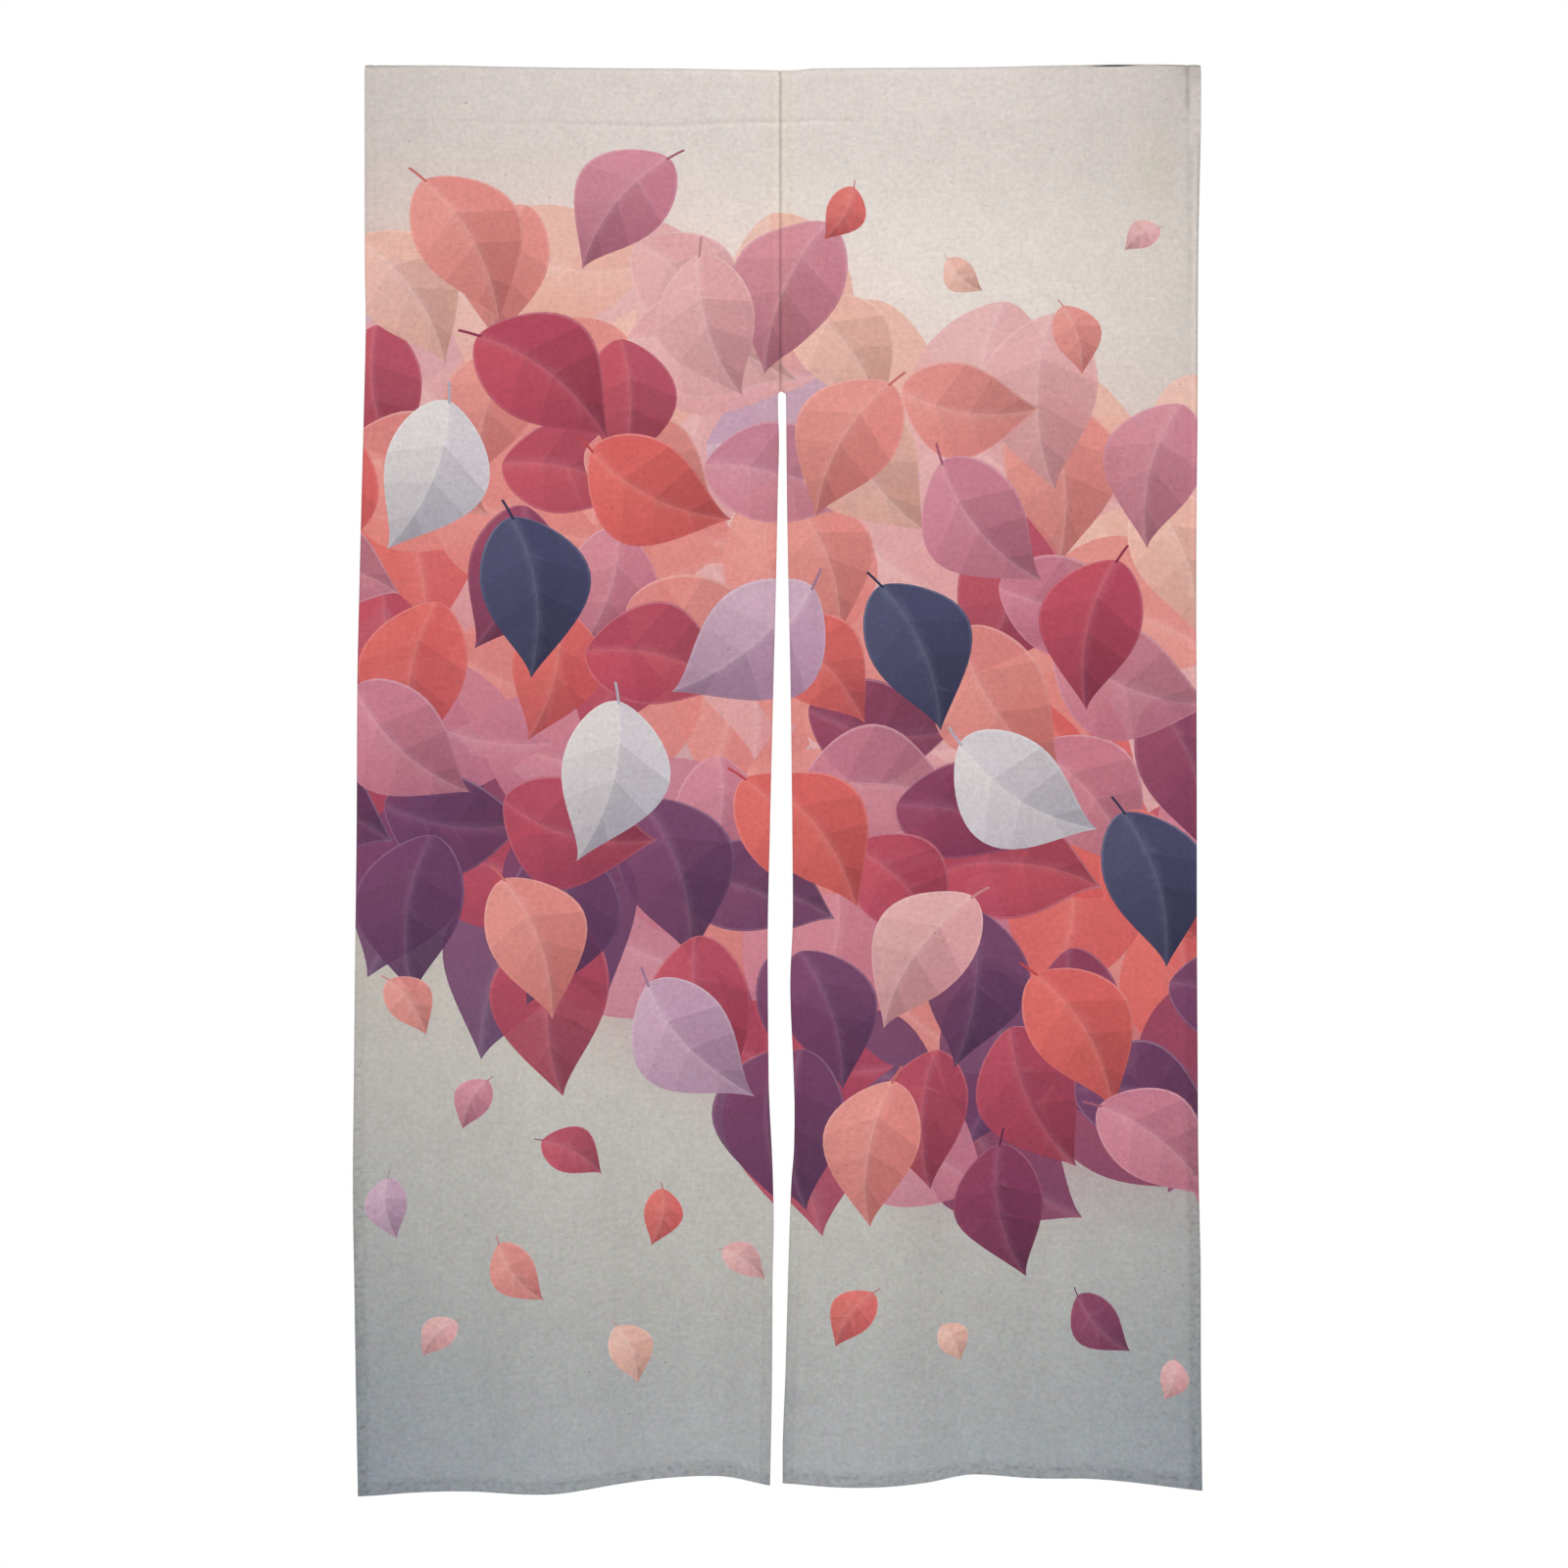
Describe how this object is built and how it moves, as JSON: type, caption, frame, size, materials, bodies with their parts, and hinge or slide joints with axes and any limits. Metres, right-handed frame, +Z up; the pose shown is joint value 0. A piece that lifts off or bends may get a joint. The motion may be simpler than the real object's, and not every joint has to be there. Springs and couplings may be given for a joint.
{
  "type": "split doorway curtain",
  "caption": "Split doorway curtain of printed linen-look cloth: panels joined by a centre seam at the top, open below, with a rod pocket along the top edge.",
  "frame": {"origin": "inside the fold of the rod pocket, at the centre of the top edge, where a rod bears", "axes": "+Z up, +X along the rod to the right as seen from the front, the printed face looks along -Y"},
  "size_m": [0.8724, 0.0417, 1.4705],
  "materials": {
    "printed_cloth": "matte linen-look plain weave, printed in corals, pinks, plum, navy and ivory on ivory fading to blue-grey",
    "heading_cloth": "matte linen-look plain weave, warm grey ivory"
  },
  "bodies": {
    "root": {"heading_left": "heading_cloth", "heading_right": "heading_cloth", "panel_left": "printed_cloth", "panel_right": "printed_cloth"}
  },
  "joints": []
}
